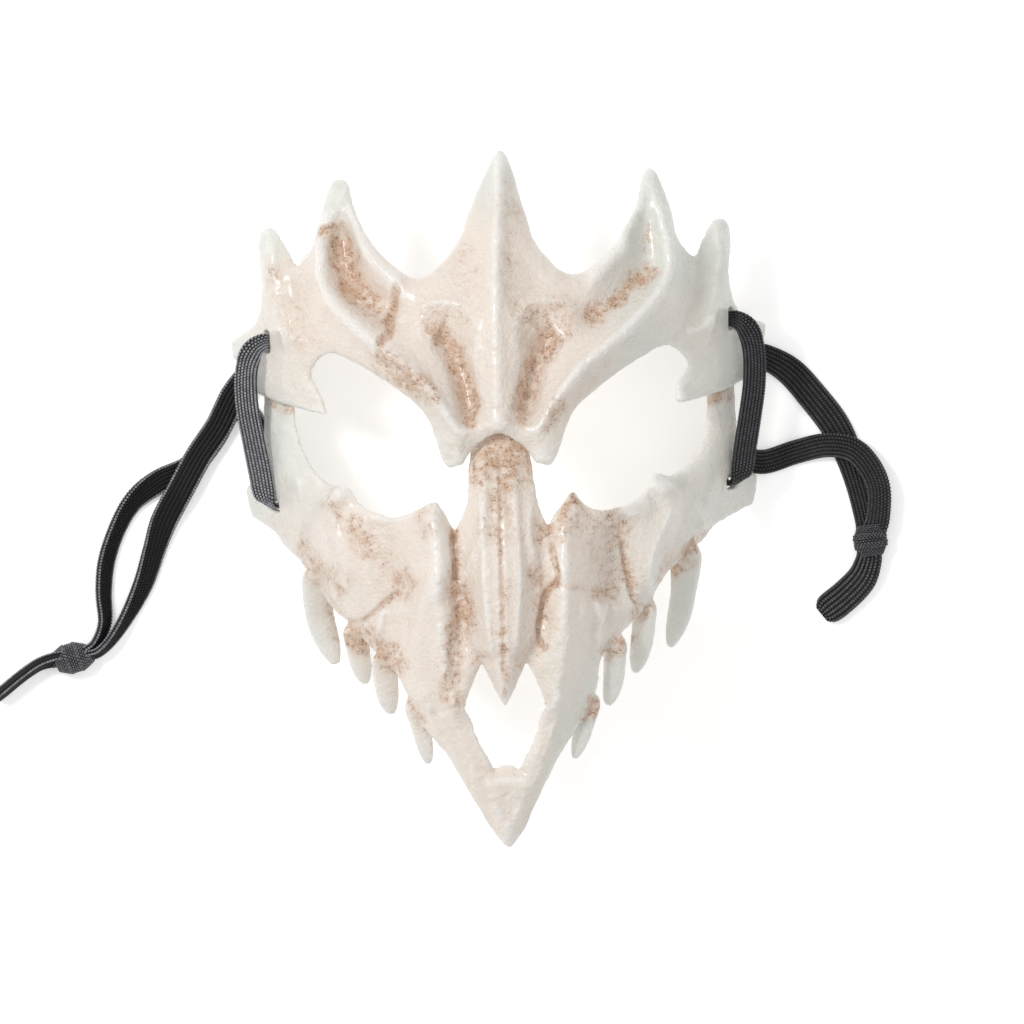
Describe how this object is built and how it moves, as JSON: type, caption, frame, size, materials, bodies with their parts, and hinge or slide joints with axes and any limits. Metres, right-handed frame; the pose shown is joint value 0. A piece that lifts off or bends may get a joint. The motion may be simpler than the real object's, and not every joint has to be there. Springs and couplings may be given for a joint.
{
  "type": "horror mask",
  "caption": "Beast-skull face mask of two thin cast plates with horns, open eyes, teeth and a beak, laced together at the temples, with knotted lace ties.",
  "frame": {"origin": "middle of the mask's box on the surface that it lies on, lace ties left out", "axes": "+X to the viewer's right, +Y up the mask towards the horns, +Z out of the face"},
  "size_m": [0.2996, 0.23, 0.0794],
  "materials": {
    "cast_resin": "satin cast resin, brown wash in the hollows",
    "lace": "flat black braid"
  },
  "bodies": {
    "root": {"brow_plate": "cast_resin", "face_plate": "cast_resin", "stitch_left": "lace", "strand_upper_left": "lace", "strand_lower_left": "lace", "knot_left": "lace", "tail_left": "lace", "stitch_right": "lace", "strand_upper_right": "lace", "strand_lower_right": "lace", "knot_right": "lace", "tail_right": "lace"}
  },
  "joints": []
}
